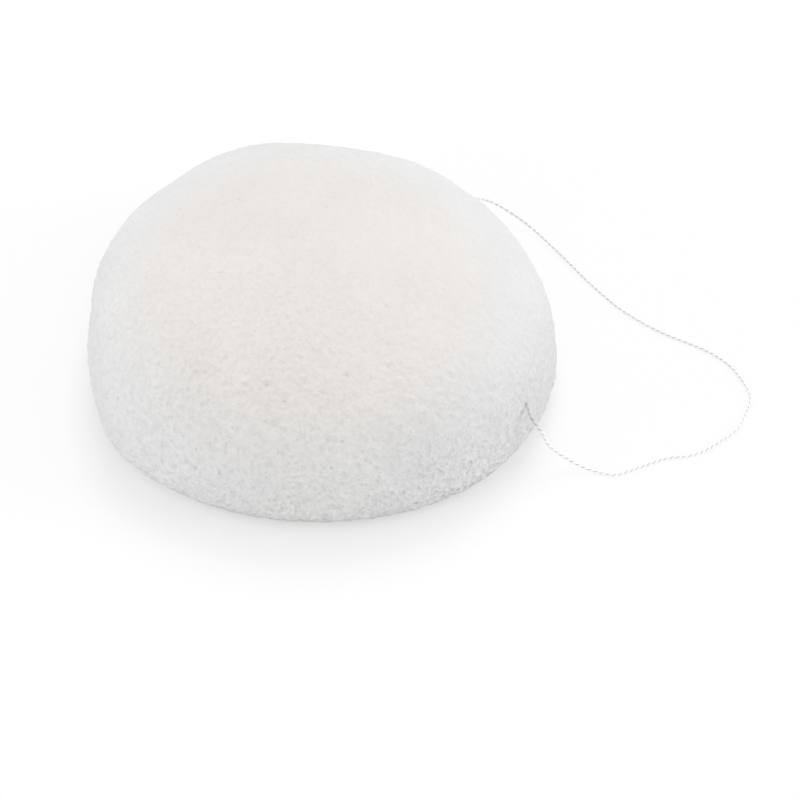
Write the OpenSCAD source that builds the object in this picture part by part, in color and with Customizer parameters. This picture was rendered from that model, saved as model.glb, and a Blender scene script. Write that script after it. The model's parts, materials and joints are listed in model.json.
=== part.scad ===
// Konjac sponge: a half-ball of soft plant foam with one loop of thin cotton string.
// The string runs through a needle channel near the rim, and its two ends are joined
// by a reef knot that is drawn into the foam. Millimetres, +Z up, the flat face on z = 0,
// the origin under the middle of the foam, and the string's loop on the +X side.

/* [Sponge] */
// Mean width across the widest level
sponge_d = 80; // [60:1:100]
// Height from the resting face to the crown
sponge_h = 31; // [24:0.5:40]
// Height of the widest level
waist_h = 4.5; // [3:0.5:8]
// How far the resting face is drawn in from the widest level
edge_inset = 5.5; // [2:0.5:9]
// Roundness of the side and crown: 2 is an ellipse, more is squarer
crown_power = 2.4; // [2:0.1:3]
// Roundness of the lower edge
edge_power = 2.2; // [1.8:0.1:3]
// How far the crown leans away from the string
crown_lean = 2.4; // [0:0.2:5]

/* [String channel] */
// Distance of the channel in from the widest level
channel_inset = 10; // [7:0.5:14]
// Heading of the channel across the sponge, counted from +X
channel_heading = 101; // [90:1:110]
// Height of the channel above the resting face
channel_h = 9.5; // [7:0.5:13]
// Width of the pucker where the string leaves the foam
pucker_d = 1.8; // [1.4:0.1:2.6]
// Depth of the pucker along the channel
pucker_depth = 1.6; // [1:0.1:3]

/* [String] */
// Diameter of the twisted string
string_d = 0.7; // [0.5:0.05:1]
// Clearance all round the string in its channel
channel_gap = 0.05; // [0.03:0.01:0.1]
// Straight stretch of string outside each exit
lead_l = 3; // [2:0.5:5]

/* [Knot] */
// Clearance between the two bights of the reef knot
knot_gap = 0.1; // [0.05:0.01:0.2]
// Half the length over which the bights cross
knot_reach = 2.2; // [2:0.1:3]
// Length of each cut tail past the knot
tail_l = 1.6; // [0.5:0.1:3]
// Clearance between the knot and the foam round it
pocket_gap = 0.35; // [0.3:0.05:1]

/* [Hidden] */

foam_colour = [0.93, 0.91, 0.89];
string_colour = [0.92, 0.91, 0.88];

// Facets of the foam: round the rim, up the lower edge, and up the side to the crown
rim_sides = 48;
edge_rings = 4;
crown_rings = 19;
// Sides of the string's tube, and its ring spacing in diameters on the loop and in the knot
string_sides = 8;
loop_ring_share = 2.75;
knot_ring_share = 0.9;
round_fn = 32;

// Bulges of the hand-cut rim: how many round the rim, height as a share of the radius,
// and the direction of one of them
rim_bulge_shares = [[2, 0.005, -85], [3, 0.012, -35], [4, 0.008, 130],
                    [6, 0.005, -80], [7, 0.006, 30]];

// Shape of the knot, as shares of the distance between neighbouring strands: how far the
// legs spread, how high they ride over each other, how far the closed end bulges past the
// crossing, its clearance past that, and the length over which the legs come together
spread_share = 1.6;
rise_share = 0.62;
bulge_share = 1.5;
clear_share = 0.6;
ease_share = 2;
closed_end_steps = 10;
// Roundness of the room for the knot, its facets along the channel, and the flare's
// length as a share of the pucker's depth, so that it reaches past the foam
pocket_power = 0.8;
pocket_steps = 14;
flare_share = 3;

// The free loop where it lies, from the front exit round to the back one.
// Each row is x, y and how far the string is lifted off the table.
loop_points = [
    [36.5, -23.5, 7.3], [38, -24, 4.3], [41, -24.5, 1.8], [44, -25.5, 0.6], [46.5, -26, 0],
    [49, -26.5, 0], [51.5, -25.5, 0], [54.5, -24, 0], [58, -22.5, 0], [61.5, -22, 0],
    [64.5, -20.5, 0], [67.5, -18, 0], [70, -15.5, 0], [71.5, -12, 0], [72.5, -8.5, 0],
    [72, -5.5, 0], [70, -1, 0], [67, 2.5, 0], [63.5, 5, 0], [60, 7, 0],
    [57, 9, 0], [54, 11.5, 0], [50.5, 15, 0], [46, 21, 0], [42, 27, 0.1],
    [37.5, 33, 0.6], [34.5, 36, 1.2], [31, 38, 2.5], [28.5, 38, 4], [26.5, 36.8, 5.6],
    [25, 35.2, 7.6]
];

// Radii and shares worked out from the sizes above
sponge_r = sponge_d / 2;
base_share = (sponge_r - edge_inset) / sponge_r;
string_r = string_d / 2;
channel_r = string_r + channel_gap;

// Radius of the rim in one direction, as a share of the mean
function rim_share(a) = 1 + sum([for (b = rim_bulge_shares) b[1] * cos(b[0] * a - b[2])]);
function sum(list, i = 0) = i < len(list) ? list[i] + sum(list, i + 1) : 0;

// Radius at one height, as a share of the widest: a rounded lower edge, then the dome
function edge_share(z) =
    base_share + (1 - base_share) * pow(1 - pow(1 - z / waist_h, edge_power), 1 / edge_power);
function dome_share(z) =
    pow(1 - pow((z - waist_h) / (sponge_h - waist_h), crown_power), 1 / crown_power);
function level_share(z) =
    z <= 0 ? base_share : z < waist_h ? edge_share(z) : z < sponge_h ? dome_share(z) : 0;
function lean_at(z) = -crown_lean * z / sponge_h;

// Heights of the rings of facets, closer together where the profile turns
function edge_level(i) = waist_h * (1 - pow(cos(90 * i / edge_rings), 2 / edge_power));
function crown_level(i) =
    waist_h + (sponge_h - waist_h) * pow(sin(90 * i / crown_rings), 2 / crown_power);
levels = concat([for (i = [0 : edge_rings - 1]) edge_level(i)],
                [for (i = [0 : crown_rings - 1]) crown_level(i)]);

// Plan of one level before the whole is centred over the origin
function raw_ring(z) = [for (k = [0 : rim_sides - 1])
    let (a = 360 * k / rim_sides, r = sponge_r * rim_share(a) * level_share(z))
    [lean_at(z) + r * cos(a), r * sin(a), z]];
raw_points = [for (z = levels) each raw_ring(z)];
function middle_of(values) = (min(values) + max(values)) / 2;
plan_middle = [middle_of([for (p = raw_points) p.x]), middle_of([for (p = raw_points) p.y]), 0];

// The channel: its direction, and its point nearest the middle of the foam
heading = [cos(channel_heading), sin(channel_heading), 0];
channel_mid = (sponge_r - channel_inset) * [heading.y, -heading.x, 0] + [0, 0, channel_h];
function on_channel(s) = channel_mid + s * heading;

// How far a point lies outside the foam, level by level
function outside(p) =
    let (x = p.x + plan_middle.x - lean_at(p.z), y = p.y + plan_middle.y)
    norm([x, y]) - sponge_r * rim_share(atan2(y, x)) * level_share(p.z);
// Where the channel leaves the foam, found by halving between a point in and a point out
function exit_at(inner, outer, halvings = 30) =
    let (half = (inner + outer) / 2)
    halvings == 0 ? half
    : outside(on_channel(half)) < 0 ? exit_at(half, outer, halvings - 1)
    : exit_at(inner, half, halvings - 1);
front_exit = exit_at(0, -sponge_d);
back_exit = exit_at(0, sponge_d);
front_mouth = front_exit + pucker_depth;
back_mouth = back_exit - pucker_depth;

// Reef knot, laid along x about its own middle. Each bight is a U whose closed end goes
// over the two legs of the other, and whose own legs dip under them where they cross.
strand_pitch = string_d + knot_gap;
leg_inner = strand_pitch / 2;
leg_outer = leg_inner + spread_share * strand_pitch;
knot_rise = rise_share * strand_pitch;
bight_bulge = bulge_share * strand_pitch;
clear_x = knot_reach + bight_bulge + clear_share * strand_pitch;
ease_l = ease_share * strand_pitch;
knot_half = clear_x + ease_l + string_d;
tail_x = clear_x + min(tail_l, ease_l + string_d);
pocket_r = leg_outer + string_r + pocket_gap;

function ease(t) = (1 - cos(180 * min(1, max(0, t)))) / 2;
// One leg at x: side is +1 for the standing part, which ends on the axis, and -1 for
// the tail, which lies beside it
function leg_y(x) = (leg_inner + leg_outer + (leg_outer - leg_inner) * sin(90 * x / knot_reach)) / 2;
function leg_end_y(side, t) = side > 0 ? leg_inner * (1 - ease(t))
    : -leg_inner - (strand_pitch - leg_inner) * ease(t);
function leg_point(side, x) = abs(x) <= knot_reach
    ? [x, side * leg_y(x), -knot_rise * cos(180 * x / knot_reach)]
    : let (t = (-x - clear_x) / ease_l) [x, leg_end_y(side, t), knot_rise * (1 - ease(t))];
function leg_points(side, last_x) =
    let (n = ceil((knot_reach + last_x) / (knot_ring_share * string_d)))
    [for (i = [0 : n]) leg_point(side, knot_reach - (knot_reach + last_x) * i / n)];
closed_end = [for (i = [1 : closed_end_steps - 1]) let (w = -90 + 180 * i / closed_end_steps)
    [knot_reach + bight_bulge * cos(w), leg_outer * sin(w), knot_rise]];
function reversed(list) = [for (i = [len(list) - 1 : -1 : 0]) list[i]];
bight_path = concat(reversed(leg_points(-1, tail_x)), closed_end, leg_points(1, knot_half));
other_path = [for (p = bight_path) [-p.x, p.y, -p.z]];

// Smooth curve through points, a ring at each step of about the given length
function curve_between(a, b, c, d, t) =
    let (u = t * t, v = u * t)
    (a * (-v + 2 * u - t) + b * (3 * v - 5 * u + 2) + c * (-3 * v + 4 * u + t) + d * (v - u)) / 2;
function curve(points, step) = [for (i = [1 : len(points) - 3])
    let (n = max(1, round(norm(points[i + 1] - points[i]) / step)))
    for (j = [0 : n - 1])
        curve_between(points[i - 1], points[i], points[i + 1], points[i + 2], j / n)];

// The loop's way: straight out of the front mouth, down, along the table, up and back in.
// The points inside the foam only steer the curve, so that both ends lie on the channel.
front_places = [front_mouth + string_d, front_mouth, front_exit, front_exit - lead_l];
back_places = [back_exit + lead_l, back_exit, back_mouth, back_mouth - string_d];
guide = concat([for (s = front_places) on_channel(s)],
               [for (p = loop_points) [p.x, p.y, string_r + p.z]],
               [for (s = back_places) on_channel(s)]);
loop_way = [for (p = concat(curve(guide, loop_ring_share * string_d), [on_channel(back_mouth)]))
    [p.x, p.y, max(p.z, string_r)]];

// A tube along a path, its rings square to it, and the faces between rings and at the ends
function unit(v) = v / norm(v);
function run_direction(path, i) =
    unit(path[min(i + 1, len(path) - 1)] - path[max(i - 1, 0)]);
function tube_points(path, r) = [for (i = [0 : len(path) - 1])
    let (t = run_direction(path, i), side = unit(cross(t, [0, 0, 1])), up = cross(side, t))
    for (k = [0 : string_sides - 1])
        path[i] + r * (cos(360 * k / string_sides) * side + sin(360 * k / string_sides) * up)];
function band_faces(rings, sides) = [for (i = [0 : rings - 2], k = [0 : sides - 1])
    let (a = i * sides + k, b = i * sides + (k + 1) % sides)
    each [[a, b, b + sides], [a, b + sides, a + sides]]];
function cap_faces(first, sides, turned) = [for (k = [1 : sides - 2])
    turned ? [first, first + k, first + k + 1] : [first, first + k + 1, first + k]];

module tube(path, r) {
    rings = len(path);
    polyhedron(
        points = tube_points(path, r),
        faces = concat(cap_faces(0, string_sides, false),
                       band_faces(rings, string_sides),
                       cap_faces((rings - 1) * string_sides, string_sides, true)),
        convexity = 6);
}

// The half-ball of foam without its holes
module dome() {
    rings = len(levels);
    base = rings * rim_sides;
    crown = base + 1;
    last = (rings - 1) * rim_sides;
    polyhedron(
        points = [for (p = concat(raw_points, [[0, 0, 0], [lean_at(sponge_h), 0, sponge_h]]))
                  p - plan_middle],
        faces = concat(
            [for (k = [0 : rim_sides - 1]) [base, k, (k + 1) % rim_sides]],
            [for (f = band_faces(rings, rim_sides)) reversed(f)],
            [for (k = [0 : rim_sides - 1]) [crown, last + (k + 1) % rim_sides, last + k]]),
        convexity = 4);
}

// Sets a part that is drawn along +Z from the origin along the channel, from place s
module along_channel(s) {
    translate(on_channel(s)) rotate([0, 0, channel_heading]) rotate([0, 90, 0]) children();
}

// Sets a part that is drawn along +X about the origin at the channel's middle
module at_knot() {
    translate(channel_mid) rotate([0, 0, channel_heading]) children();
}

// Outline of the room for the knot, as radius and place along the channel
function pocket_outline() = [for (i = [1 : pocket_steps - 1]) let (w = 180 * i / pocket_steps)
    [channel_r + (pocket_r - channel_r) * pow(sin(w), pocket_power), -knot_half * cos(w)]];

// Everything that the string takes out of the foam, turned about the channel: a flared
// pucker at each exit, the needle channel, and the room that the knot is drawn into
module channel_void() {
    flare_l = flare_share * pucker_depth;
    flare_r = channel_r + (pucker_d / 2 - channel_r) * flare_l / pucker_depth;
    along_channel(0) rotate_extrude($fn = round_fn) polygon(concat(
        [[0, front_mouth - flare_l], [flare_r, front_mouth - flare_l],
         [channel_r, front_mouth], [channel_r, -knot_half]],
        pocket_outline(),
        [[channel_r, knot_half], [channel_r, back_mouth],
         [flare_r, back_mouth + flare_l], [0, back_mouth + flare_l]]));
}

module sponge_body() {
    color(foam_colour) difference() {
        dome();
        channel_void();
    }
}

// The free stretch, outside the foam
module string_loop() {
    color(string_colour) tube(loop_way, string_r);
}

// A straight stretch of the string inside its channel
module string_run(from, to) {
    color(string_colour) along_channel(from) cylinder(h = to - from, r = string_r, $fn = round_fn);
}
module string_run_front() { string_run(front_mouth, -knot_half); }
module string_run_back() { string_run(knot_half, back_mouth); }

// The two ends of the string, each a bight of the reef knot with its cut tail
module knot_bight_front() {
    color(string_colour) at_knot() tube(bight_path, string_r);
}
module knot_bight_back() {
    color(string_colour) at_knot() tube(other_path, string_r);
}

sponge_body();
string_loop();
string_run_front();
string_run_back();
knot_bight_front();
knot_bight_back();

// Lengths and clearances, measured on the points
function way_length(path) = sum([for (i = [1 : len(path) - 1]) norm(path[i] - path[i - 1])]);
function least_gap(one, two) = min([for (p = one) min([for (q = two) norm(p - q)])]) - string_d;
echo(free_loop = way_length(loop_way), rings = len(loop_way), front = on_channel(front_mouth),
     back = on_channel(back_mouth), exits = [on_channel(front_exit), on_channel(back_exit)],
     run_front = -knot_half - front_mouth, run_back = back_mouth - knot_half,
     knot_gap_found = least_gap(bight_path, other_path), bight = way_length(bight_path),
     middle = plan_middle, axis = heading);
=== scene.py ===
"""The looks of a konjac sponge and its loop of cotton string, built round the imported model.

Lengths are in metres unless a name says mm. +Z is up, the camera looks along +Y, and the
string's loop lies on the +X side, which is the right in the photograph.
"""
import json
import math
import random

import bpy
import numpy as np
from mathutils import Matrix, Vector, noise


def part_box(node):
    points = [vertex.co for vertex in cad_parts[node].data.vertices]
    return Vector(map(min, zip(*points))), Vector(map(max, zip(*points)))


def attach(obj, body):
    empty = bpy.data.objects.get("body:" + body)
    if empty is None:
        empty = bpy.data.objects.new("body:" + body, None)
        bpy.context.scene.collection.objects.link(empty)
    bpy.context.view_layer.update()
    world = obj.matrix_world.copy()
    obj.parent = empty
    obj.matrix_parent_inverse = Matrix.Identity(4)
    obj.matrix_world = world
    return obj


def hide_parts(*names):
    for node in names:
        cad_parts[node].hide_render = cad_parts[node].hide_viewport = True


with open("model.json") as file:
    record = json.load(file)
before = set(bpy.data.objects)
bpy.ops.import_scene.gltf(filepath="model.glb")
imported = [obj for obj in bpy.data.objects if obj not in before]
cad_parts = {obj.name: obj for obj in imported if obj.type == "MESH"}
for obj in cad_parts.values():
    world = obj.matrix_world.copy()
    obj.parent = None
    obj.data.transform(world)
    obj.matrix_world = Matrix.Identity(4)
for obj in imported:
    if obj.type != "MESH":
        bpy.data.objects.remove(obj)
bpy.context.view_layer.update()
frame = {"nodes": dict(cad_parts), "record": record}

MM = 0.001
SCENE = bpy.context.scene
HINGE = frame["record"]["behaviour"]["joints"][0]

# Camera, fitted to the sponge's outline in the photograph
CAMERA_ELEVATION = math.radians(44)
CAMERA_DISTANCE = 750 * MM
CAMERA_TARGET = Vector((13.2, -8.2, 0)) * MM
CAMERA_SENSOR = 36.0
CAMERA_LENS = 199.3
CAMERA_NEAREST = 10 * MM

# Shape of the foam: heights and insets as in the part, and its rim's bulges, each with how
# many go round, its height as a share of the radius, and the direction of one of them
SPONGE_R = 40 * MM
SPONGE_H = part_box("sponge_body")[1][2]
WAIST_H = 4.5 * MM
EDGE_INSET = 5.5 * MM
CROWN_POWER = 2.4
EDGE_POWER = 2.2
CROWN_LEAN = 2.4 * MM
RIM_BULGE_SHARES = [(2, 0.005, -85), (3, 0.012, -35), (4, 0.008, 130),
                    (6, 0.005, -80), (7, 0.006, 30)]
# Slight humps and dents that run down its back and left, as the outline shows them: the
# direction and height share of each, and how many degrees it takes to fade
RIM_HUMP_SHARES = [(44, -0.012, 4), (59, 0.011, 9), (90, -0.009, 8), (111, 0.007, 9),
                   (133, -0.012, 5), (149, 0.0065, 6), (177, -0.012, 8), (199, -0.008, 8)]
# Up to this height the skin is drawn down to the table, by this share
REST_H = 1.5 * MM
REST_SHARE = 0.5

# The foam's mesh: cells along an edge of the cube that it starts from, places along each
# part of its profile, and the share of the way from top to bottom that is above the flat
SKIN_CELLS = 126
PROFILE_PLACES = 400
SHARE_ABOVE_FLAT = 0.66

# How open the foam's grain is: its value at the crown, what it gains for each metre nearer
# to the camera and for each metre lower, and its bounds
OPEN_CROWN = 0.3
OPEN_PER_M_NEARER = 10
OPEN_PER_M_LOWER = 16
OPEN_LEAST = 0.2
OPEN_MOST = 1.15
# What it gains low down at the back, loses high up on the right, and gains past its bound
# low in front on the right, where the grain is coarse
LOW_BACK_GAIN = 0.8
HIGH_RIGHT_LOSS = 0.3
COARSE_GAIN = 0.55
LOW_H = 20 * MM
BACK_FADE_L = 20 * MM
RIGHT_START = -10 * MM
RIGHT_FADE_L = 40 * MM
COARSE_H = 26 * MM
COARSE_FADE_L = 25 * MM

# Relief of the foam's skin: how many forms go to a metre, and how high they stand in mm
SWELL_PER_M, SWELL_MM = 60, 0.30
LUMP_PER_M, LUMP_MM = 240, 0.12
GRAIN_PER_M, GRAIN_MM = 850, 0.26
FINE_GRAIN_PER_M, FINE_GRAIN_MM = 1350, 0.16
# Where the noise of the soft swells starts, chosen for the outline
SWELL_START = Vector((11.6, 16.6, 37.4))
# Pores, wide and small: how many go to a metre, their radius as a share of their spacing,
# their depth in mm, and how strongly the painted shade in them shows in the colour
WIDE_PORES_PER_M = 360
WIDE_PORE_SHARE = 0.17
WIDE_PORE_MM = 0.18
WIDE_PORE_SHADE = 1.2
SMALL_PORES_PER_M = 850
SMALL_PORE_SHARE = 0.40
SMALL_PORE_MM = 0.10
SMALL_PORE_SHADE = 0.5
# How steep the walls of a wide pore are: at 1 it would be deepest only at its middle
PORE_WALL = 1.6
# How much of its relief the grain has at openness 0, and what openness 1 adds
CLOSED_GRAIN = 0.4
OPEN_GRAIN = 0.5

# Needle channel, its mouths, where the foam closes on the string, and how deep they lie sunk
CHANNEL_R = 0.385 * MM
CHANNEL_L = 46.456 * MM
MOUTH_R = 0.215 * MM
MOUTH_TAPER = 0.5 * MM
PUCKER_DEPTH = 1.6 * MM
CHANNEL_SIDES = 28
# The slight dent of the foam round each exit
DENT_DEPTH = 0.3 * MM
DENT_R = 1.2 * MM
# The knot's middle, from the front mouth, and the room that holds the knot
KNOT_FROM_FRONT = 23.671 * MM
KNOT_HALF = 6.18 * MM
POCKET_R = 2.38 * MM
POCKET_POWER = 0.8
POCKET_RINGS = 25

# String: diameter, the length in which a ply goes round once, the steps of its mesh and of
# its route, and the straight length at each exit
STRING_D = 0.7 * MM
STRING_LAY = 2.12 * MM
STEPS_PER_LAY = 14
ROUTE_STEP = 0.2 * MM
LEAD_L = 3 * MM
# Its two plies: radius, distance from the string's middle, and sides of the mesh
PLY_R = 0.150 * MM
PLY_OFFSET = 0.146 * MM
PLY_SIDES = 12
# The foam's mouths press the plies together to this share over this length, and they spread
# again over the next
SQUEEZED_SHARE = 0.37
SQUEEZED_L = 1.7 * MM
SPREAD_L = 0.8 * MM
# Yarns of a ply: how many show, how deep the lines between them are as a share of the ply's
# radius, and how many of them go by while the ply turns once
YARNS = 3
YARN_DEPTH = 0.07
YARNS_PER_TURN = 1.6
# The string is darker up to here from its front mouth, and fades to its own colour after it
DARK_L = 4.8 * MM
DARK_FADE_L = 4 * MM

# Loose fibres: how many, what starts their random draws, radius, steps and least and most
# length, how strongly they bend, and the share of their radius that is left at their tip
FIBRES = 220
FIBRE_SEED = 11
FIBRE_R = 0.009 * MM
FIBRE_STEPS = 6
FIBRE_SHORTEST_MM, FIBRE_LONGEST_MM = 0.25, 0.9
FIBRE_BEND = 0.35
FIBRE_TIP = 0.4
# How far out in its ply a fibre begins, as a share of the ply's radius, and how far along the
# string from a mouth the first and the last one may be
FIBRE_ROOT = 0.8
FIBRES_FROM_MOUTH = PUCKER_DEPTH + 1 * MM

# Where the free loop lies, from the front exit round to the back one. Each row is x, y and
# how far the string is lifted off the table, in millimetres, as in the part.
LOOP_POINTS_MM = [
    (36.5, -23.5, 7.3), (38, -24, 4.3), (41, -24.5, 1.8), (44, -25.5, 0.6), (46.5, -26, 0),
    (49, -26.5, 0), (51.5, -25.5, 0), (54.5, -24, 0), (58, -22.5, 0), (61.5, -22, 0),
    (64.5, -20.5, 0), (67.5, -18, 0), (70, -15.5, 0), (71.5, -12, 0), (72.5, -8.5, 0),
    (72, -5.5, 0), (70, -1, 0), (67, 2.5, 0), (63.5, 5, 0), (60, 7, 0),
    (57, 9, 0), (54, 11.5, 0), (50.5, 15, 0), (46, 21, 0), (42, 27, 0.1),
    (37.5, 33, 0.6), (34.5, 36, 1.2), (31, 38, 2.5), (28.5, 38, 4), (26.5, 36.8, 5.6),
    (25, 35.2, 7.6),
]

# Colours of the foam: over the crown, at the rim, and in its duller patches, and where the
# crown's colour is centred, begins to fade and ends
CROWN_COLOUR = (0.785, 0.754, 0.727)
RIM_COLOUR = (0.772, 0.772, 0.770)
PATCH_TONE = (0.975, 0.975, 0.98)
CROWN_MIDDLE = (-2 * MM, -7.5 * MM, 0)
CROWN_FADE = (24 * MM, 35 * MM)
# Painted shade in the foam's grain: tones that darken its pits, the gaps between its beads
# and the hollows of its grain, and painted light that brightens the grain's peaks
PIT_SHADE_TONE = (0.93, 0.93, 0.93)
DEEP_PIT_SHADE_TONE = (0.74, 0.735, 0.73)
GAP_SHADE_TONE = (0.88, 0.875, 0.87)
GRAIN_SHADE_AND_LIGHT_TONES = ((0.93, 0.93, 0.93), (0.98, 0.98, 0.98), (1.03, 1.03, 1.03))
# The openness at which the coarse grain has its full painted shade, and what keeps its mean tone
COARSE_FULL = 1.85
COARSE_LIFT = (1.09, 1.09, 1.09)
# Strength of the foam's bump at openness 1, and the height of its grains and its beads
FOAM_BUMP = 0.8
GRAIN_BUMP_H = 0.7 * MM
BEAD_BUMP_H = 0.15 * MM

# Colours of the cotton: two shades that alternate along it, its fibres, painted shade in the
# groove between its plies, and the stretch that leaves the foam in front
COTTON_DULL = (0.985, 0.983, 0.977)
COTTON_BRIGHT = (0.998, 0.996, 0.992)
FIBRE_TONE = (0.98, 0.98, 0.975)
GROOVE_SHADE_TONE = (0.620, 0.620, 0.615)
DARK_TONE = (0.66, 0.66, 0.66)
# Shares of the string's radius: the groove has its full painted shade up to the first, and the
# ply has its own colour from the second on
GROOVE_REACH = 0.28
PLY_REACH = 0.54
# The groove's painted shade is paler by this share on the far side, as painted light where the
# sponge keeps the lamps off the string; the far side begins between these places on Y
FAR_GROOVE_LIGHT_SHARE = 0.30
FAR_FADE = (-5 * MM, 10 * MM)
# Strength of the cotton's bump, and the height of its fibres
COTTON_BUMP = 0.6
COTTON_BUMP_H = 0.02 * MM

# White, of the room and the floor, and where a tone leaves a colour as it is
WHITE = (1, 1, 1)

# Light: a pale room all round, and broad soft lamps. Each lamp has its place, width and power
ROOM_LEVEL = 0.80
LAMPS = {
    "key": ((0.05, 0.50, 0.80), 0.45, 2.07),
    "left fill": ((-0.75, -0.36, 0.16), 0.4, 1.47),
    "right fill": ((0.80, -0.10, 0.25), 0.4, 1.34),
    "front fill": ((0.0, -0.80, 0.20), 0.4, 0.42),
}

# Floor: half its width, how far it lies below the sponge, and how much light it throws back
FLOOR_HALF = 3.0
FLOOR_DROP = 0.02 * MM
FLOOR_BOUNCE = 0.78
# As the camera sees it, on the sponge's side and on the string's: the share that takes light
# and shadow, and the white that it adds of its own
FLOOR_SPONGE_SIDE = (0.51, 0.455)
FLOOR_STRING_SIDE = (0.12, 0.868)
# Where on X the one passes into the other, and how much sooner for each metre to the back
FLOOR_FADE = (34 * MM, 46 * MM)
FLOOR_FADE_LEAN = 0.4


def add_camera():
    """The photograph's view: straight on, from above, through a long lens."""
    data = bpy.data.cameras.new("camera")
    data.sensor_width = CAMERA_SENSOR
    data.lens = CAMERA_LENS
    data.clip_start = CAMERA_NEAREST
    camera = bpy.data.objects.new("camera", data)
    camera.location = CAMERA_TARGET + CAMERA_DISTANCE * Vector(
        (0, -math.cos(CAMERA_ELEVATION), math.sin(CAMERA_ELEVATION)))
    camera.rotation_euler = (math.pi / 2 - CAMERA_ELEVATION, 0, 0)
    SCENE.collection.objects.link(camera)
    SCENE.camera = camera


def add_mesh(name, points, faces):
    """A smooth mesh object in the scene, from points and faces."""
    mesh = bpy.data.meshes.new(name)
    mesh.from_pydata([tuple(p) for p in points], [], [tuple(f) for f in faces])
    mesh.update()
    mesh.shade_smooth()
    piece = bpy.data.objects.new(name, mesh)
    SCENE.collection.objects.link(piece)
    return piece


def give_values(piece, values_by_name):
    """Values at the points of a mesh, under names that its material reads."""
    for name, values in values_by_name.items():
        piece.data.attributes.new(name, "FLOAT", "POINT").data.foreach_set("value", values)


# The channel's line, from the hinge that the string turns on
FRONT_MOUTH = np.array(HINGE["pos_m"], dtype=float)
OUTWARD = np.array(HINGE["axis"], dtype=float)
OUTWARD /= np.linalg.norm(OUTWARD)
BACK_MOUTH = FRONT_MOUTH - OUTWARD * CHANNEL_L
KNOT_MID = FRONT_MOUTH - OUTWARD * KNOT_FROM_FRONT


def smooth_step(x):
    """0 up to 0, 1 from 1 on, and a smooth rise between them."""
    x = np.clip(x, 0, 1)
    return x * x * (3 - 2 * x)


def curve_through(points, step):
    """A smooth curve through the inner points, with a place at about each step."""
    places = []
    for a, b, c, d in zip(points, points[1:], points[2:], points[3:]):
        count = max(1, round(np.linalg.norm(c - b) / step))
        for t in np.arange(count) / count:
            places.append((a * (-t**3 + 2 * t**2 - t) + b * (3 * t**3 - 5 * t**2 + 2)
                           + c * (-3 * t**3 + 4 * t**2 + t) + d * (t**3 - t**2)) / 2)
    places.append(points[-2])
    return np.array(places)


def string_way(step):
    """The centreline of the free loop, from mouth to mouth, on or above the table."""
    r = STRING_D / 2
    leads = (-STRING_D, 0, PUCKER_DEPTH, PUCKER_DEPTH + LEAD_L)
    front = [FRONT_MOUTH + OUTWARD * s for s in leads]
    back = [BACK_MOUTH - OUTWARD * s for s in reversed(leads)]
    lying = [np.array((x, y, z)) * MM + (0, 0, r) for x, y, z in LOOP_POINTS_MM]
    way = curve_through(front + lying + back, step)
    way[:, 2] = np.maximum(way[:, 2], r)
    return way


def even_way(way, step):
    """The same line with its places an even step apart, and its length."""
    lengths = np.concatenate([[0], np.cumsum(np.linalg.norm(np.diff(way, axis=0), axis=1))])
    marks = np.linspace(0, lengths[-1], round(lengths[-1] / step) + 1)
    return np.stack([np.interp(marks, lengths, way[:, k]) for k in range(3)], axis=1), lengths[-1]


def directions_along(way):
    """The line's direction at each of its places."""
    along = np.gradient(way, axis=0)
    return along / np.linalg.norm(along, axis=1)[:, None]


def carried_frames(way):
    """Two directions square to the line at each place, carried along it without twist."""
    along = directions_along(way)
    side = np.cross(along[0], (0, 0, 1))
    sides = []
    for t in along:
        side = side - t * np.dot(side, t)
        side /= np.linalg.norm(side)
        sides.append(side)
    sides = np.array(sides)
    return sides, np.cross(sides, along)


def ring_faces(rings, sides):
    """Quads between rings of points, and a cap at each end."""
    faces = [(i * sides + k, i * sides + (k + 1) % sides,
              (i + 1) * sides + (k + 1) % sides, (i + 1) * sides + k)
             for i in range(rings - 1) for k in range(sides)]
    faces.append(tuple(range(sides))[::-1])
    faces.append(tuple((rings - 1) * sides + k for k in range(sides)))
    return faces


def ply_spread(count, step):
    """How far the plies stand from the line at each place, as a share: the foam's mouths press
    them together."""
    from_end = np.minimum(np.arange(count), np.arange(count)[::-1]) * step
    return SQUEEZED_SHARE + (1 - SQUEEZED_SHARE) * smooth_step((from_end - SQUEEZED_L) / SPREAD_L)


def ply(way, sides_dir, ups_dir, step, phase):
    """One ply of the string: a helix round the line, with its own finer yarns showing. Gives
    its points, how far out in the string each is, its faces and its centreline."""
    turns = 2 * math.pi * np.arange(len(way)) * step / STRING_LAY + phase
    offset = PLY_OFFSET * ply_spread(len(way), step)[:, None]
    core = way + offset * (np.cos(turns)[:, None] * sides_dir + np.sin(turns)[:, None] * ups_dir)
    out, up = carried_frames(core)
    angles = 2 * math.pi * np.arange(PLY_SIDES) / PLY_SIDES
    across = np.cos(angles)[:, None]
    upward = np.sin(angles)[:, None]
    points, reach = [], []
    for i, centre in enumerate(core):
        lines = (1 + np.cos(YARNS * angles - YARNS_PER_TURN * turns[i])) / 2
        r = PLY_R * (1 - YARN_DEPTH * lines)
        ring = centre + r[:, None] * (across * out[i] + upward * up[i])
        points.append(ring)
        reach.append(np.linalg.norm(ring - way[i], axis=1) / (STRING_D / 2))
    return np.concatenate(points), np.concatenate(reach), ring_faces(len(core), PLY_SIDES), core


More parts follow.
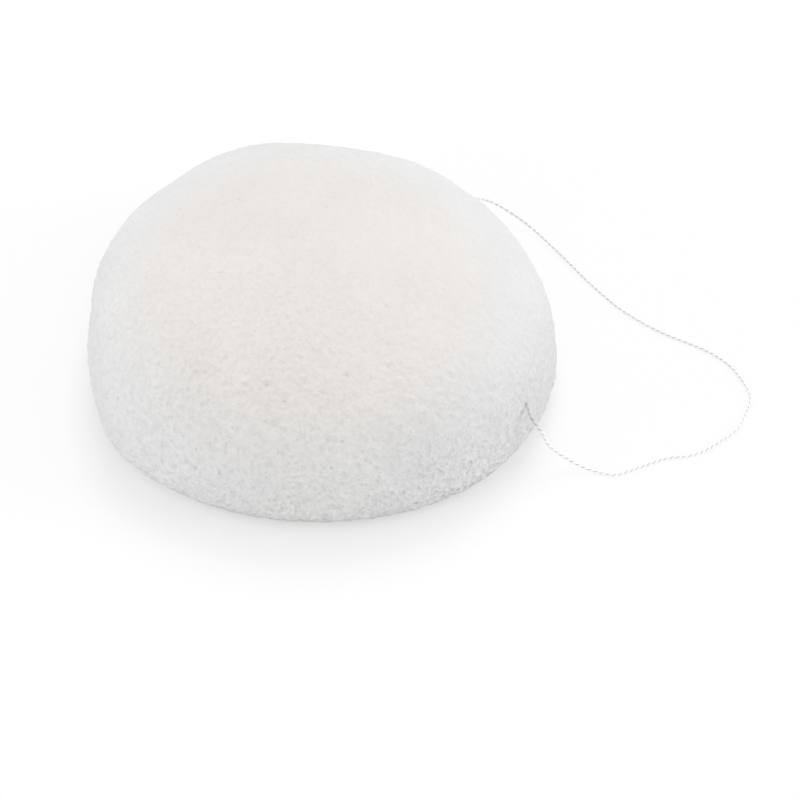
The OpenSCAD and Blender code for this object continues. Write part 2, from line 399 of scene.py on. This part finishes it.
def fibre(start, outward, along, rng):
    """A loose cotton fibre: a hair-thin three-sided tube that curls off the string."""
    length = rng.uniform(FIBRE_SHORTEST_MM, FIBRE_LONGEST_MM) * MM
    direction = Vector(outward) * rng.uniform(0.5, 1.1) + Vector(along) * rng.uniform(-1, 1)
    direction.normalize()
    bend = Vector((rng.uniform(-1, 1), rng.uniform(-1, 1), rng.uniform(-1, 1))) * FIBRE_BEND
    place = Vector(start)
    way = []
    for _ in range(FIBRE_STEPS):
        way.append(np.array(place))
        direction = (direction + bend).normalized()
        place = place + direction * (length / (FIBRE_STEPS - 1))
        place.z = max(place.z, 2 * FIBRE_R)
    way = np.array(way)
    out, up = carried_frames(way)
    radii = FIBRE_R * np.linspace(1, FIBRE_TIP, FIBRE_STEPS)
    points = [way[i] + radii[i] * (math.cos(a) * out[i] + math.sin(a) * up[i])
              for i in range(FIBRE_STEPS) for a in (0, 2 * math.pi / 3, 4 * math.pi / 3)]
    return points, ring_faces(FIBRE_STEPS, 3)


def add_string(material):
    """The free loop of two-ply cotton, with loose fibres, in place of its plain solid."""
    step = STRING_LAY / STEPS_PER_LAY
    way, length = even_way(string_way(ROUTE_STEP), step)
    sides_dir, ups_dir = carried_frames(way)
    dark_share = smooth_step(1 - (np.arange(len(way)) * step - DARK_L) / DARK_FADE_L)
    points, reach, dark, faces, cores = [], [], [], [], []
    for phase in (0, math.pi):
        ply_points, ply_reach, ply_faces, core = ply(way, sides_dir, ups_dir, step, phase)
        faces += [tuple(len(points) + v for v in f) for f in ply_faces]
        points += list(ply_points)
        reach += list(ply_reach)
        dark += list(np.repeat(dark_share, PLY_SIDES))
        cores.append(core)
    rng = random.Random(FIBRE_SEED)
    along = directions_along(way)
    inside = round(FIBRES_FROM_MOUTH / step)
    for _ in range(FIBRES):
        i = rng.randrange(inside, len(way) - inside)
        outward = cores[rng.randrange(2)][i] - way[i]
        outward /= np.linalg.norm(outward)
        start = way[i] + outward * (PLY_OFFSET + FIBRE_ROOT * PLY_R)
        fibre_points, fibre_faces = fibre(start, outward, along[i], rng)
        faces += [tuple(len(points) + v for v in f) for f in fibre_faces]
        points += fibre_points
        reach += [1.0] * len(fibre_points)
        dark += [dark_share[i]] * len(fibre_points)
    string = add_mesh("cotton_string_loop", points, faces)
    give_values(string, {"reach": reach, "dark": dark})
    string.data.materials.append(material)
    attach(string, "string")
    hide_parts("string_loop")


def rim_share(angle):
    """Radius of the foam's plan in one direction, as a share of the mean."""
    return 1 + sum(high * np.cos(count * angle - math.radians(turn))
                   for count, high, turn in RIM_BULGE_SHARES)


def degrees_from(angle, turn):
    """How far an angle is from a direction, in degrees, the short way round."""
    return (np.degrees(angle) - turn + 180) % 360 - 180


def hump_share(angle):
    """How far out the foam's humps and dents put it in one direction, as a share."""
    return 1 + sum(high * np.exp(-(degrees_from(angle, turn) / fade) ** 2)
                   for turn, high, fade in RIM_HUMP_SHARES)


def foam_profile(samples):
    """The foam's outline from the crown down to the middle of its flat, as radius share and
    height, how far along it each place is, and where along it the flat begins."""
    t = np.linspace(0, math.pi / 2, samples)
    base_share = (SPONGE_R - EDGE_INSET) / SPONGE_R
    dome = np.stack([np.sin(t) ** (2 / CROWN_POWER),
                     WAIST_H + (SPONGE_H - WAIST_H) * np.cos(t) ** (2 / CROWN_POWER)], 1)
    edge = np.stack([base_share + (1 - base_share) * np.cos(t) ** (2 / EDGE_POWER),
                     WAIST_H * (1 - np.sin(t) ** (2 / EDGE_POWER))], 1)
    flat = np.stack([base_share * np.linspace(1, 0, samples), np.zeros(samples)], 1)
    line = np.concatenate([dome, edge[1:], flat[1:]])
    run = np.hypot(np.diff(line[:, 0]) * SPONGE_R, np.diff(line[:, 1]))
    marks = np.concatenate([[0], np.cumsum(run)])
    return line, marks, marks[2 * samples - 2]


def ball_grid(cells):
    """Directions on a ball from a cube with that many cells along an edge, and its quads."""
    u, v = np.meshgrid(np.arange(cells), np.arange(cells), indexing="ij")
    corners = [(0, 0), (1, 0), (1, 1), (0, 1)]
    quads = []
    for axis in range(3):
        for side in (0, cells):
            quad = np.empty((cells * cells, 4, 3), dtype=np.int64)
            for c, (du, dv) in enumerate(corners):
                quad[:, c, axis] = side
                quad[:, c, (axis + 1) % 3] = (u + du).ravel()
                quad[:, c, (axis + 2) % 3] = (v + dv).ravel()
            quads.append(quad if side else quad[:, ::-1])
    quads = np.concatenate(quads)
    places, index = np.unique(quads.reshape(-1, 3), axis=0, return_inverse=True)
    directions = np.tan((2 * places / cells - 1) * math.pi / 4)
    directions /= np.linalg.norm(directions, axis=1)[:, None]
    return directions, index.reshape(-1, 4)


def point_normals(points, quads):
    """The normal at each point, from the quads round it."""
    a, b, c, d = (points[quads[:, k]] for k in range(4))
    across = np.cross(c - a, d - b)
    normals = np.zeros_like(points)
    for k in range(4):
        np.add.at(normals, quads[:, k], across)
    return normals / np.linalg.norm(normals, axis=1)[:, None]


def foam_openness(points):
    """How open the foam's grain is at each point. It is closest at the back of the crown and
    most open in front and low down. On the string's side it is closer above and, low in
    front, coarse."""
    x, y, z = points.T
    low = smooth_step(1 - z / LOW_H)
    right = smooth_step((x - RIGHT_START) / RIGHT_FADE_L)
    coarse = smooth_step(1 - z / COARSE_H) * smooth_step(-y / COARSE_FADE_L)
    openness = OPEN_CROWN - OPEN_PER_M_NEARER * y + OPEN_PER_M_LOWER * (SPONGE_H - z)
    openness += LOW_BACK_GAIN * low * smooth_step(y / BACK_FADE_L)
    openness -= HIGH_RIGHT_LOSS * right * (1 - low) ** 2
    return np.clip(openness, OPEN_LEAST, OPEN_MOST) + COARSE_GAIN * right * coarse


def pore_share(p, per_m, width_share):
    """How far into a pore of one size a point is, as a share."""
    return max(0.0, 1 - noise.voronoi(p * per_m)[0][0] / width_share)


def foam_relief(points, openness):
    """How far the foam's skin stands out at each point, and how deep in a pore it is, which sets
    the painted shade in its pores.
    """
    relief_mm = np.empty(len(points))
    pores = np.empty(len(points))
    for i, p in enumerate(points):
        p = Vector(p)
        swell = noise.noise(p * SWELL_PER_M + SWELL_START) * SWELL_MM
        lump = noise.noise(p * LUMP_PER_M) * LUMP_MM
        grain = (noise.noise(p * GRAIN_PER_M) * GRAIN_MM
                 + noise.noise(p * FINE_GRAIN_PER_M) * FINE_GRAIN_MM)
        wide = pore_share(p, WIDE_PORES_PER_M, WIDE_PORE_SHARE)
        small = pore_share(p, SMALL_PORES_PER_M, SMALL_PORE_SHARE)
        pores[i] = min(1.0, WIDE_PORE_SHADE * wide + SMALL_PORE_SHADE * small)
        pits = WIDE_PORE_MM * smooth_step(PORE_WALL * wide) + SMALL_PORE_MM * small
        rough = CLOSED_GRAIN + OPEN_GRAIN * min(1.0, openness[i])
        relief_mm[i] = swell + lump + rough * (grain - pits)
    return relief_mm * MM, pores


def foam_base():
    """Points and quads of the foam's plain form, and the height of each point's place."""
    directions, quads = ball_grid(SKIN_CELLS)
    line, marks, flat_mark = foam_profile(PROFILE_PLACES)
    down = np.arccos(np.clip(directions[:, 2], -1, 1)) / math.pi
    angle = np.arctan2(directions[:, 1], directions[:, 0])
    below_share = (down - SHARE_ABOVE_FLAT) / (1 - SHARE_ABOVE_FLAT)
    place = np.where(down < SHARE_ABOVE_FLAT, down / SHARE_ABOVE_FLAT * flat_mark,
                     flat_mark + below_share * (marks[-1] - flat_mark))
    radius = np.interp(place, marks, line[:, 0]) * SPONGE_R * rim_share(angle)
    height = np.interp(place, marks, line[:, 1])
    lean = -CROWN_LEAN * height / SPONGE_H
    points = np.stack([lean + radius * np.cos(angle), radius * np.sin(angle), height], 1)
    middle = (points.min(axis=0) + points.max(axis=0)) / 2
    points[:, :2] -= middle[:2]
    points[:, :2] *= hump_share(angle)[:, None]
    return points, quads, height


def foam_skin():
    """Points and quads of the foam's outside before its channel is cut, with its pores and
    how open its grain is."""
    points, quads, height = foam_base()
    normals = point_normals(points, quads)
    openness = foam_openness(points)
    relief, pores = foam_relief(points, openness)
    skin = points + normals * relief[:, None]
    for mouth, way in ((FRONT_MOUTH, OUTWARD), (BACK_MOUTH, -OUTWARD)):
        exit_point = mouth + way * PUCKER_DEPTH
        away = np.linalg.norm(skin - exit_point, axis=1)
        skin -= normals * (DENT_DEPTH * np.exp(-(away / DENT_R) ** 2))[:, None]
    rests = smooth_step(1 - height / REST_H)
    skin[:, 2] = np.maximum(skin[:, 2] * (1 - REST_SHARE * rests), 0)
    return skin, quads, {"pore": pores, "openness": openness}


def channel_void():
    """What the string takes out of the foam, turned about the channel: the needle channel,
    closed in on the string beyond its mouths, and the knot's room."""
    end = 2 * PUCKER_DEPTH
    front = np.dot(FRONT_MOUTH - KNOT_MID, OUTWARD)
    back = np.dot(BACK_MOUTH - KNOT_MID, OUTWARD)
    outline = [(MOUTH_R, back - end), (MOUTH_R, back - MOUTH_TAPER), (CHANNEL_R, back)]
    for t in np.linspace(math.pi, 0, POCKET_RINGS):
        swell = max(0, math.sin(t)) ** POCKET_POWER
        outline.append((CHANNEL_R + (POCKET_R - CHANNEL_R) * swell, KNOT_HALF * math.cos(t)))
    outline += [(CHANNEL_R, front), (MOUTH_R, front + MOUTH_TAPER), (MOUTH_R, front + end)]
    up = np.array((0, 0, 1))
    side = np.cross(OUTWARD, up)
    points = [KNOT_MID + OUTWARD * s + r * (math.cos(a) * side + math.sin(a) * up)
              for r, s in outline for a in np.arange(CHANNEL_SIDES) * 2 * math.pi / CHANNEL_SIDES]
    return points, ring_faces(len(outline), CHANNEL_SIDES)


def add_sponge(material):
    """The foam body, grained and pored, with the string's channel cut through it."""
    points, quads, values = foam_skin()
    sponge = add_mesh("konjac_foam_body", points, quads)
    give_values(sponge, values)
    cutter = add_mesh("channel_cutter", *channel_void())
    cut = sponge.modifiers.new("channel", "BOOLEAN")
    cut.operation = "DIFFERENCE"
    cut.solver = "MANIFOLD"
    cut.object = cutter
    settled = sponge.evaluated_get(bpy.context.evaluated_depsgraph_get())
    mesh = bpy.data.meshes.new_from_object(settled)
    mesh.name = "konjac_foam_body"
    sponge.modifiers.clear()
    sponge.data = mesh
    bpy.data.objects.remove(cutter)
    mesh.materials.clear()
    mesh.materials.append(material)
    mesh.shade_smooth()
    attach(sponge, "sponge")
    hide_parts("sponge_body")


class Nodes:
    """A node tree, with short calls to add, fill and join its nodes."""

    def __init__(self, owner):
        owner.use_nodes = True
        self.tree = owner.node_tree

    def fill(self, node, sockets):
        """Gives the node's sockets a value each, or a link where the value is a socket."""
        for key, value in sockets.items():
            if isinstance(value, bpy.types.NodeSocket):
                self.tree.links.new(value, node.inputs[key])
            else:
                node.inputs[key].default_value = value

    def add(self, kind, sockets=None, **settings):
        """A new node with its settings and sockets."""
        node = self.tree.nodes.new(kind)
        for key, value in settings.items():
            setattr(node, key, value)
        self.fill(node, sockets or {})
        return node

    def attribute(self, name):
        """The values that the mesh carries under a name."""
        return self.add("ShaderNodeAttribute", attribute_name=name).outputs["Fac"]

    def span(self, value, low, high, most=1.0, smooth=False):
        """0 up to low, and rising to the most, which it has from high on."""
        node = self.add("ShaderNodeMapRange", {"Value": value, "From Min": low, "From Max": high,
                                               "To Max": most},
                        interpolation_type="SMOOTHSTEP" if smooth else "LINEAR")
        return node.outputs["Result"]

    def ramp(self, factor, stops):
        """A colour ramp with its stops, each a place and a colour."""
        node = self.add("ShaderNodeValToRGB", {"Fac": factor})
        for place, _ in stops[2:]:
            node.color_ramp.elements.new(place)
        for element, (place, colour) in zip(node.color_ramp.elements, stops):
            element.position = place
            element.color = (*colour, 1)
        return node.outputs["Color"]

    def mix(self, factor, a, b, blend="MIX"):
        """Two colours mixed by a factor."""
        node = self.add("ShaderNodeMix", data_type="RGBA", blend_type=blend)
        for name, kind, value in (("Factor", "VALUE", factor), ("A", "RGBA", a), ("B", "RGBA", b)):
            socket = next(s for s in node.inputs if s.name == name and s.type == kind)
            if isinstance(value, bpy.types.NodeSocket):
                self.tree.links.new(value, socket)
            else:
                socket.default_value = value if kind == "VALUE" else (*value, 1)
        return next(s for s in node.outputs if s.type == "RGBA")

    def times(self, a, b):
        """Two colours multiplied."""
        return self.mix(1.0, a, b, "MULTIPLY")


def foam_tone(nodes, place):
    """The foam's colour without its grain: warm over the crown, neutral at the rim, patchy."""
    from_crown = nodes.add("ShaderNodeVectorMath", {0: place, 1: CROWN_MIDDLE},
                           operation="SUBTRACT").outputs["Vector"]
    flat = nodes.add("ShaderNodeVectorMath", {0: from_crown, 1: (1.0, 1.0, 0.0)},
                     operation="MULTIPLY").outputs["Vector"]
    away = nodes.add("ShaderNodeVectorMath", {0: flat}, operation="LENGTH").outputs["Value"]
    rim = nodes.span(away, *CROWN_FADE, smooth=True)
    patches = nodes.add("ShaderNodeTexNoise", {"Vector": place, "Scale": 90.0, "Detail": 2.0})
    patchy = nodes.ramp(patches.outputs["Fac"], [(0.35, PATCH_TONE), (0.65, WHITE)])
    return nodes.times(nodes.mix(rim, CROWN_COLOUR, RIM_COLOUR), patchy)


def foam_speckle(nodes, beads, grains):
    """Painted shade that the foam's grain puts in its colour: in the gaps between its beads, in the
    hollows of its grain, with painted light on its peaks, and in its pores.
    """
    # Painted shade in the bead gaps, grain hollows and pores, and painted light on the grain's
    # peaks
    gaps = nodes.ramp(beads, [(0.04, GAP_SHADE_TONE), (0.30, WHITE)])
    grain_shade_and_light = nodes.ramp(grains, list(zip((0.33, 0.50, 0.68), GRAIN_SHADE_AND_LIGHT_TONES)))
    pits = nodes.ramp(nodes.attribute("pore"),
                      [(0.05, WHITE), (0.5, PIT_SHADE_TONE), (1.0, DEEP_PIT_SHADE_TONE)])
    return nodes.times(nodes.times(gaps, grain_shade_and_light), pits)


def foam_material():
    """Matt white plant foam with fine open pores, which show as its grain opens, with painted shade
    in its pores and hollows.
    """
    material = bpy.data.materials.new("konjac_foam")
    nodes = Nodes(material)
    place = nodes.add("ShaderNodeTexCoord").outputs["Object"]
    openness = nodes.attribute("openness")
    beads = nodes.add("ShaderNodeTexVoronoi",
                      {"Vector": place, "Scale": 1250.0, "Randomness": 1.0}).outputs["Distance"]
    grains = nodes.add("ShaderNodeTexNoise", {"Vector": place, "Scale": 1100.0, "Detail": 2.5,
                                              "Roughness": 0.5}).outputs["Fac"]
    # The grain's painted shade and light, mixed in more as the grain opens
    speckle = foam_speckle(nodes, beads, grains)
    colour = foam_tone(nodes, place)
    colour = nodes.mix(openness, colour, nodes.times(colour, speckle))
    speckled = nodes.times(nodes.times(colour, speckle), COARSE_LIFT)
    colour = nodes.mix(nodes.span(openness, OPEN_MOST, COARSE_FULL), colour, speckled)
    strength = nodes.add("ShaderNodeMath", {0: openness, 1: FOAM_BUMP},
                         operation="MULTIPLY").outputs[0]
    fine = nodes.add("ShaderNodeBump", {"Height": grains, "Strength": strength,
                                        "Distance": GRAIN_BUMP_H}).outputs["Normal"]
    bead = nodes.add("ShaderNodeBump", {"Height": beads, "Strength": strength,
                                        "Distance": BEAD_BUMP_H, "Normal": fine}).outputs["Normal"]
    nodes.fill(nodes.tree.nodes["Principled BSDF"], {
        "Base Color": colour,
        "Normal": bead,
        "Roughness": 0.92,
        "Specular IOR Level": 0.2,
        "Subsurface Weight": 0.15,
        "Subsurface Radius": (1.0, 0.95, 0.9),
        "Subsurface Scale": 0.8 * MM,
    })
    return material


def twisted_tone(nodes, place, colour):
    """The cotton's colour on the twisted string: painted shade in the groove between the plies,
    less of it on the far side as painted light, and darker where the string leaves the foam in
    front."""
    # Painted shade in the groove between the plies, eased on the far side as painted light
    groove = nodes.ramp(nodes.attribute("reach"), [(GROOVE_REACH, GROOVE_SHADE_TONE), (PLY_REACH, WHITE)])
    depth = nodes.add("ShaderNodeSeparateXYZ", {0: place}).outputs["Y"]
    groove = nodes.mix(nodes.span(depth, *FAR_FADE, most=FAR_GROOVE_LIGHT_SHARE), groove, WHITE)
    colour = nodes.times(colour, groove)
    return nodes.mix(nodes.attribute("dark"), colour, nodes.times(colour, DARK_TONE))


def cotton_material(twisted):
    """Undyed cotton: matt, slightly warm, with fine fibres in its colour and bump."""
    material = bpy.data.materials.new("cotton_string" if twisted else "cotton_string_inside")
    nodes = Nodes(material)
    place = nodes.add("ShaderNodeTexCoord").outputs["Object"]
    fibres = nodes.add("ShaderNodeTexNoise", {"Vector": place, "Scale": 9000.0, "Detail": 4.0,
                                              "Roughness": 0.7}).outputs["Fac"]
    wear = nodes.add("ShaderNodeTexNoise",
                     {"Vector": place, "Scale": 350.0, "Detail": 2.0}).outputs["Fac"]
    colour = nodes.times(nodes.ramp(wear, [(0.3, COTTON_DULL), (0.7, COTTON_BRIGHT)]),
                         nodes.ramp(fibres, [(0.3, FIBRE_TONE), (0.7, WHITE)]))
    if twisted:
        colour = twisted_tone(nodes, place, colour)
    bump = nodes.add("ShaderNodeBump", {"Height": fibres, "Strength": COTTON_BUMP,
                                        "Distance": COTTON_BUMP_H}).outputs["Normal"]
    nodes.fill(nodes.tree.nodes["Principled BSDF"], {
        "Base Color": colour,
        "Normal": bump,
        "Roughness": 0.9,
        "Specular IOR Level": 0.25,
        "Sheen Weight": 0.9,
        "Sheen Roughness": 0.5,
    })
    return material


def finish_carried_nodes(cotton):
    """The threaded string and its knot keep their solids and get the cotton."""
    for name in ("string_run_front", "string_run_back", "knot_bight_front", "knot_bight_back"):
        mesh = frame["nodes"][name].data
        mesh.materials.clear()
        mesh.materials.append(cotton)


def seen_directly(nodes):
    """1 where the camera, a reflection or a clear view sees a surface, and 0 elsewhere."""
    path = nodes.add("ShaderNodeLightPath")
    seen = path.outputs["Is Camera Ray"]
    for name in ("Is Glossy Ray", "Is Transmission Ray"):
        seen = nodes.add("ShaderNodeMath", {0: seen, 1: path.outputs[name]},
                         operation="MAXIMUM").outputs[0]
    return seen


def add_room():
    """An even white world for the light, which the camera and reflections see as white."""
    world = bpy.data.worlds.new("room")
    SCENE.world = world
    nodes = Nodes(world)
    room = nodes.tree.nodes["Background"]
    nodes.fill(room, {"Color": (*WHITE, 1), "Strength": ROOM_LEVEL})
    seen = nodes.add("ShaderNodeBackground", {"Color": (*WHITE, 1), "Strength": 1.0})
    mix = nodes.add("ShaderNodeMixShader",
                    {0: seen_directly(nodes), 1: room.outputs[0], 2: seen.outputs[0]})
    nodes.fill(nodes.tree.nodes["World Output"], {"Surface": mix.outputs[0]})


def add_lamps():
    """The soft lamps, each aimed at the sponge."""
    for name, (place, width, power) in LAMPS.items():
        data = bpy.data.lights.new(name, "AREA")
        data.shape = "DISK"
        data.size = width
        data.energy = power
        lamp = bpy.data.objects.new(name, data)
        lamp.location = place
        lamp.rotation_euler = (-lamp.location).to_track_quat("-Z", "Y").to_euler()
        SCENE.collection.objects.link(lamp)


def floor_side(nodes, lit_share, white_share):
    """One side of the floor as the camera sees it."""
    lit = nodes.add("ShaderNodeBsdfDiffuse", {"Color": (lit_share, lit_share, lit_share, 1)})
    white = nodes.add("ShaderNodeEmission", {"Color": (*WHITE, 1), "Strength": white_share})
    return nodes.add("ShaderNodeAddShader", {0: lit.outputs[0], 1: white.outputs[0]}).outputs[0]


def add_floor():
    """A broad white floor that reads as white to the camera and still takes the sponge's
    shadow. On the string's side, where the photograph shows no shadow, it takes less."""
    half, drop = FLOOR_HALF, FLOOR_DROP
    floor = add_mesh("floor", [(-half, -half, -drop), (half, -half, -drop),
                               (half, half, -drop), (-half, half, -drop)], [(0, 1, 2, 3)])
    material = bpy.data.materials.new("floor")
    nodes = Nodes(material)
    nodes.tree.nodes.remove(nodes.tree.nodes["Principled BSDF"])
    place = nodes.add("ShaderNodeTexCoord").outputs["Object"]
    split = nodes.add("ShaderNodeSeparateXYZ", {0: place})
    behind = nodes.add("ShaderNodeMath", {0: split.outputs["Y"], 1: 0.0},
                       operation="MAXIMUM").outputs[0]
    along = nodes.add("ShaderNodeMath", {0: behind, 1: FLOOR_FADE_LEAN, 2: split.outputs["X"]},
                      operation="MULTIPLY_ADD").outputs[0]
    seen = nodes.add("ShaderNodeMixShader", {0: nodes.span(along, *FLOOR_FADE, smooth=True),
                                             1: floor_side(nodes, *FLOOR_SPONGE_SIDE),
                                             2: floor_side(nodes, *FLOOR_STRING_SIDE)})
    bounce = nodes.add("ShaderNodeBsdfDiffuse",
                       {"Color": (FLOOR_BOUNCE, FLOOR_BOUNCE, FLOOR_BOUNCE, 1)})
    both = nodes.add("ShaderNodeMixShader",
                     {0: seen_directly(nodes), 1: bounce.outputs[0], 2: seen.outputs[0]})
    nodes.fill(nodes.tree.nodes["Material Output"], {"Surface": both.outputs[0]})
    floor.data.materials.append(material)


SCENE.view_settings.view_transform = "Standard"
add_camera()
add_string(cotton_material(twisted=True))
add_sponge(foam_material())
finish_carried_nodes(cotton_material(twisted=False))
add_room()
add_lamps()
add_floor()
